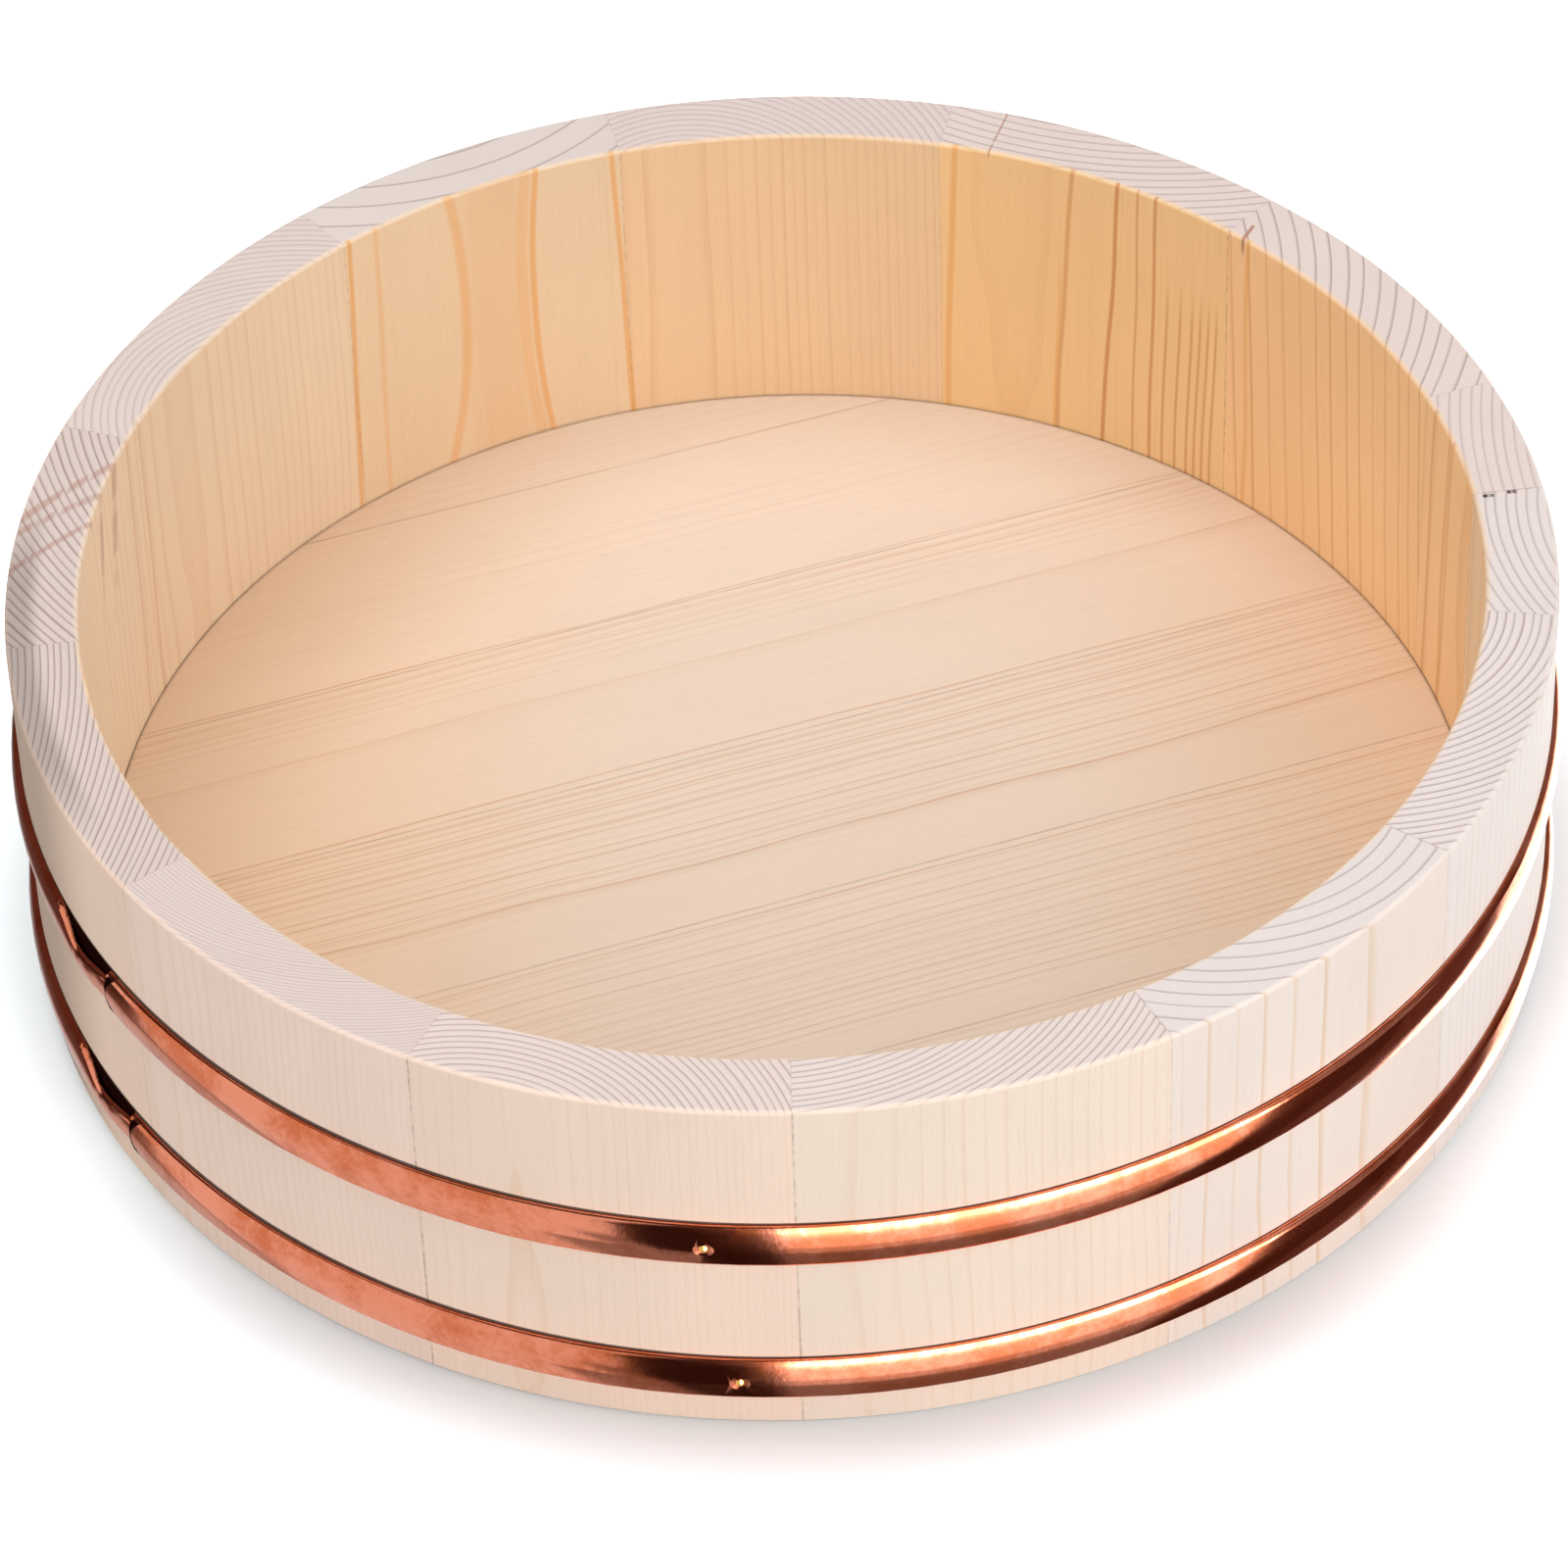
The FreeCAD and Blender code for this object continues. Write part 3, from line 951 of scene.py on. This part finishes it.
@dataclass(frozen=True)
class CopperFinish:
    """Polished copper sheet with a thin uneven tarnish, and shade in the gap at each hoop's mouth.

    A mouth is given by its azimuth and the height of the hoop's middle in millimetres.
    """

    bright: Colour = srgb(246, 152, 120)
    tarnished: Colour = srgb(220, 118, 78)
    roughness: float = 0.12
    mouths: tuple[Pair, ...] = ((212.2, 52.0), (213.5, 13.3))
    mouth_half: float = 5.8
    mouth_bow: float = 1.2
    mouth_gap: float = 0.6

    def _mouth_shade(self, graph: Graph, place: Socket) -> Number:
        """Give the mask of the curved line of shade at both mouths."""
        x, y, z = graph.split(place)
        azimuth = y.bearing(x) + FULL_TURN
        total = None
        for mouth, middle in self.mouths:
            up = (z * PER_MM - middle) / self.mouth_half
            edge = mouth - (1 - up * up) * self.mouth_bow
            line = (azimuth - edge).band(-self.mouth_gap, 0.0, 0.15)
            line = line * abs(up).step(1.0, 0.85)
            total = line if total is None else total.most(line)
        return total

    def material(self) -> bpy.types.Material:
        """Make the copper."""
        material, graph = new_material("hoop_copper")
        place = graph.place()
        mottle = graph.noise(place, 60.0, 3.0, 0.6)
        fine = graph.noise(place, 700.0, 2.0, 0.6)
        patch = mottle * 0.75 + fine * 0.25
        colour = graph.mix(patch.step(0.40, 0.62), self.bright, self.tarnished)
        roughness = self.roughness + (mottle - 0.5) * 0.10 + (fine - 0.5) * 0.04
        height = mottle * 0.6 + fine * 0.4
        finish_surface(graph, {"Base Color": colour, "Metallic": 1.0, "Roughness": roughness,
                               "Normal": graph.bump(height, 0.12, 0.0002)},
                       self._mouth_shade(graph, place))
        return material


@dataclass(frozen=True)
class BrassFinish:
    """Bright brass wire."""

    bright: Colour = srgb(252, 214, 130)
    rubbed: Colour = srgb(228, 168, 84)

    def material(self) -> bpy.types.Material:
        """Make the brass."""
        material, graph = new_material("nail_brass")
        place = graph.place()
        rub = graph.noise(place, 1400.0, 2.0)
        finish_surface(graph, {"Base Color": graph.mix(rub, self.bright, self.rubbed),
                               "Metallic": 1.0, "Roughness": 0.16 + rub * 0.12,
                               "Normal": graph.bump(rub, 0.1, 0.0001)})
        return material


@dataclass(frozen=True)
class BambooFinish:
    """Split bamboo, with fibres about every pin."""

    pale: Colour = srgb(226, 202, 150)
    dark: Colour = srgb(190, 158, 100)

    def material(self) -> bpy.types.Material:
        """Make the bamboo."""
        material, graph = new_material("pin_bamboo")
        place = graph.place()
        fibre = graph.noise(place, 1800.0, 2.0)
        finish_surface(graph, {"Base Color": graph.mix(fibre.step(0.4, 0.7), self.pale, self.dark),
                               "Roughness": 0.55, "Normal": graph.bump(fibre, 0.2, 0.0001)})
        return material


@dataclass
class Fittings:
    """The metal hoops and nails and the bamboo pins."""

    copper: CopperFinish = CopperFinish()
    brass: BrassFinish = BrassFinish()
    bamboo: BambooFinish = BambooFinish()

    def build(self) -> None:
        """Dress the hoops, the nails and the pins."""
        copper = self.copper.material()
        bamboo = self.bamboo.material()
        dressed = {"upper_hoop": copper, "lower_hoop": copper, "hoop_nails": self.brass.material(),
                   "stave_pins": bamboo, "floor_pins": bamboo}
        for name, material in dressed.items():
            dress(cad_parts[name], material)
            log.info("dressed %s", name)


@dataclass
class Viewpoint:
    """The camera at the photograph's viewing angle. Angles are degrees, lengths metres."""

    elevation: float = 42.42
    roll: float = -2.06
    distance: float = 1.5461
    target: Triple = (-0.00096, -0.01736, 0.04125)
    lens: float = 164.8
    sensor: float = 36.0
    farthest: float = 50.0

    def build(self) -> None:
        """Make the camera and use it."""
        data = bpy.data.cameras.new("camera")
        data.lens = self.lens
        data.sensor_width = self.sensor
        data.clip_end = self.farthest
        camera = bpy.data.objects.new("camera", data)
        bpy.context.scene.collection.objects.link(camera)
        lift = math.radians(self.elevation)
        place = Vector(self.target) + self.distance * Vector((0, -math.cos(lift), math.sin(lift)))
        tilt = Matrix.Rotation(math.pi / 2 - lift, 4, "X")
        roll = Matrix.Rotation(math.radians(self.roll), 4, "Z")
        camera.matrix_world = Matrix.Translation(place) @ tilt @ roll
        bpy.context.scene.camera = camera
        log.info("placed camera")


@dataclass(frozen=True)
class SoftLamp:
    """A square soft lamp aimed at the tub. Angles are degrees, lengths metres."""

    name: str
    azimuth: float
    elevation: float
    power: float
    distance: float = 1.7
    size: float = 1.1

    def build(self, aim: Vector) -> None:
        """Hang the lamp and point it at a place."""
        data = bpy.data.lights.new(self.name, "AREA")
        data.shape = "SQUARE"
        data.size = self.size
        data.energy = self.power
        lamp = bpy.data.objects.new(self.name, data)
        bpy.context.scene.collection.objects.link(lamp)
        turn, lift = math.radians(self.azimuth), math.radians(self.elevation)
        flat = math.cos(lift)
        away = Vector((flat * math.cos(turn), flat * math.sin(turn), math.sin(lift)))
        facing = away.to_track_quat("Z", "Y").to_matrix().to_4x4()
        lamp.matrix_world = Matrix.Translation(aim + away * self.distance) @ facing
        lamp.visible_glossy = False
        log.info("hung %s", self.name)


@dataclass(frozen=True)
class Panel:
    """One patch of the studio that metal reflects: a window of azimuth and elevation in degrees."""

    azimuth: tuple[float, float]
    elevation: tuple[float, float]
    level: float
    soft: float = 4.0
    side_soft: float = 2.0


@dataclass
class Studio:
    """Floor, soft lamps, the white surround and the panels that the copper reflects.

    Dark panels take the tint of shade below a level. To the camera the floor glows by its
    distance from the tub's centre, and more beside and behind the tub: painted light that sets
    where the tub's shadow fades out and lifts it beside and behind the tub. All lengths are metres.
    """

    lamps: list[SoftLamp] = field(default_factory=lambda: [
        SoftLamp("right_lamp", azimuth=335, elevation=35, power=5.0),
        SoftLamp("front_lamp", azimuth=310, elevation=48, power=5.2),
        SoftLamp("top_lamp", azimuth=150, elevation=74, power=17.8, size=1.3),
        SoftLamp("left_lamp", azimuth=234, elevation=32, power=8.0),
        SoftLamp("low_lamp", azimuth=315, elevation=11, power=8.0),
    ])
    ambient: float = 0.224
    surround: float = 0.3
    panels: list[Panel] = field(default_factory=lambda: [
        Panel((264, 362), (50, 95), 1.2, soft=8.0),
        Panel((0, 80), (20, 95), 0.22, soft=10.0),
        Panel((90, 250), (72, 95), 0.04, soft=8.0),
        Panel((80, 161), (-95, -44), 0.6, soft=6.0),
        Panel((80, 161), (-36, 60), 0.12, soft=6.0),
        Panel((167, 244), (-26, 52), 0.86, soft=12.0),
        Panel((167, 238), (-50, -26), 0.84, soft=4.0),
        Panel((167, 226), (-80, -50), 0.82, soft=4.0),
        Panel((160, 167), (-30, 60), 0.02, soft=6.0, side_soft=1.5),
        Panel((268, 332), (-24, 66), 7.5, soft=5.0, side_soft=2.0),
        Panel((268, 332), (-42, -24), 1.6, soft=5.0, side_soft=2.0),
        Panel((268, 332), (-56, -42), 0.8, soft=5.0, side_soft=2.0),
        Panel((268, 332), (-95, -58), 0.25, soft=8.0, side_soft=2.0),
        Panel((336, 362), (-10, 36), 0.28, soft=6.0),
        Panel((336, 362), (-95, -16), 0.07, soft=5.0),
        Panel((-2, 22), (-95, 30), 0.12, soft=5.0),
        Panel((28, 80), (-58, -30), 3.0, soft=4.0),
        Panel((28, 80), (-30, -4), 2.6, soft=5.0, side_soft=4.0),
        Panel((0, 80), (-95, -62), 0.1, soft=5.0),
        Panel((247, 265), (-95, 95), 0.025, soft=2.0, side_soft=2.5),
    ])
    shade: Colour = (1.0, 0.45, 0.35, 1.0)
    shade_below: Pair = (0.3, 0.05)
    aim: Triple = (0.0, 0.0, 0.04)
    floor_size: float = 6.0
    floor_colour: Colour = (0.60, 0.65, 0.67, 1.0)
    floor_glow: float = 0.8
    glow_radius: Pair = (0.160, 0.206)
    side_glow: float = 0.28
    side_y: Pair = (-0.15, -0.07)
    side_radius: Pair = (0.160, 0.168)
    glow_colour: Colour = (0.95, 1.0, 1.01, 1.0)

    def _surround(self) -> None:
        """Make the world: white to the camera, even to diffuse rays, panels to glossy rays."""
        world = bpy.data.worlds.new("studio")
        bpy.context.scene.world = world
        world.use_nodes = True
        graph = Graph(world.node_tree)
        direction = graph.add("ShaderNodeTexCoord", {}, {}).outputs["Generated"]
        x, y, z = graph.split(direction)
        azimuth = y.bearing(x) + FULL_TURN
        azimuth = azimuth - (azimuth / FULL_TURN).whole() * FULL_TURN
        elevation = z.arcsine()
        level = elevation * 0 + self.surround
        for panel in self.panels:
            mask = azimuth.band(*panel.azimuth, panel.side_soft)
            mask = mask * elevation.band(*panel.elevation, panel.soft)
            level = level + mask * (panel.level - level)
        path = graph.add("ShaderNodeLightPath", {}, {})
        seen = Number(graph, path.outputs["Is Camera Ray"])
        glossy = Number(graph, path.outputs["Is Glossy Ray"])
        strength = self.ambient + glossy * (level - self.ambient) + seen * (1 - self.ambient)
        colour = graph.mix(glossy * level.step(*self.shade_below), WHITE, self.shade)
        light = graph.add("ShaderNodeBackground", {}, {"Color": colour, "Strength": strength})
        graph.add("ShaderNodeOutputWorld", {}, {"Surface": light.outputs[0]})

    def _floor(self) -> None:
        """Lay the pale floor, which keeps the tub's soft shadow near it and glows white away from
        it, painted light that sets where that shadow fades.
        """
        mesh = bpy.data.meshes.new("studio_floor")
        half = self.floor_size / 2
        corners = [(-half, -half, 0), (half, -half, 0), (half, half, 0), (-half, half, 0)]
        mesh.from_pydata(corners, [], [(0, 1, 2, 3)])
        floor = bpy.data.objects.new("studio_floor", mesh)
        bpy.context.scene.collection.objects.link(floor)
        material, graph = new_material("studio_floor")
        seen = Number(graph, graph.add("ShaderNodeLightPath", {}, {}).outputs["Is Camera Ray"])
        x, y, _ = graph.split(graph.place())
        radius = (x * x + y * y).root()
        # Painted light: the glow grows with the distance from the tub, and beside and behind it,
        # over the tub's shadow.
        away = radius.step(*self.glow_radius) * self.floor_glow
        beside = y.step(*self.side_y) * radius.step(*self.side_radius) * self.side_glow
        matt = graph.add("ShaderNodeBsdfDiffuse", {}, {"Color": self.floor_colour})
        glow = graph.add("ShaderNodeEmission", {},
                         {"Color": self.glow_colour, "Strength": seen * (away + beside)})
        both = graph.add("ShaderNodeAddShader", {}, {0: matt.outputs[0], 1: glow.outputs[0]})
        graph.add("ShaderNodeOutputMaterial", {}, {"Surface": both.outputs[0]})
        mesh.materials.append(material)
        floor.visible_glossy = False
        log.info("laid studio_floor")

    def build(self) -> None:
        """Light the tub."""
        self._surround()
        self._floor()
        for lamp in self.lamps:
            lamp.build(Vector(self.aim))
        bpy.context.scene.view_settings.view_transform = "Standard"


def main() -> None:
    """Build the camera, the tub's looks and the studio in order."""
    logging.basicConfig(level=logging.INFO, format="%(message)s")
    Viewpoint().build()
    Staves().build()
    FloorBoards().build()
    Fittings().build()
    Studio().build()


if __name__ == "__main__":
    main()
